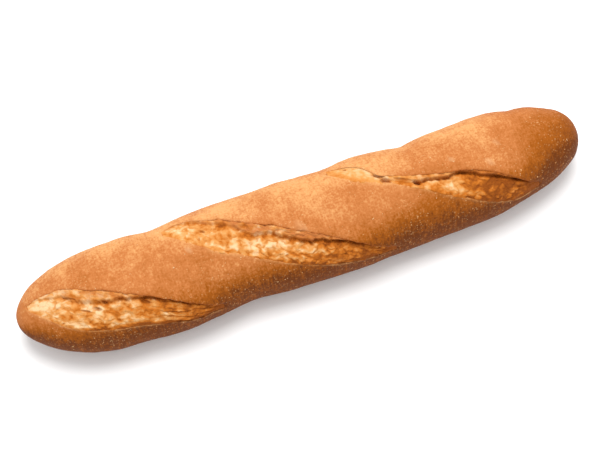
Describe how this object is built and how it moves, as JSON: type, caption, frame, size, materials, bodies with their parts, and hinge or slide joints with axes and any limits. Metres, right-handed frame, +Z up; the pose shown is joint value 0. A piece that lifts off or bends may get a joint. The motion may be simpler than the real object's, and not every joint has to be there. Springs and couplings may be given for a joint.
{
  "type": "baguette",
  "caption": "Short baked baguette, a whole crusty loaf with slanting torn cuts along its crown, lying on its flat underside.",
  "frame": {"origin": "middle of the loaf's outline box, on the surface it lies on", "axes": "+X along the loaf towards its thinner end, +Y towards the side that the ears of the cuts lift to, +Z up"},
  "size_m": [0.33, 0.0612, 0.0475],
  "materials": {
    "baked_crust": "golden brown baked bread crust with a light dusting of flour, and paler torn crumb in the cuts"
  },
  "bodies": {
    "root": {"loaf": "baked_crust"}
  },
  "joints": []
}
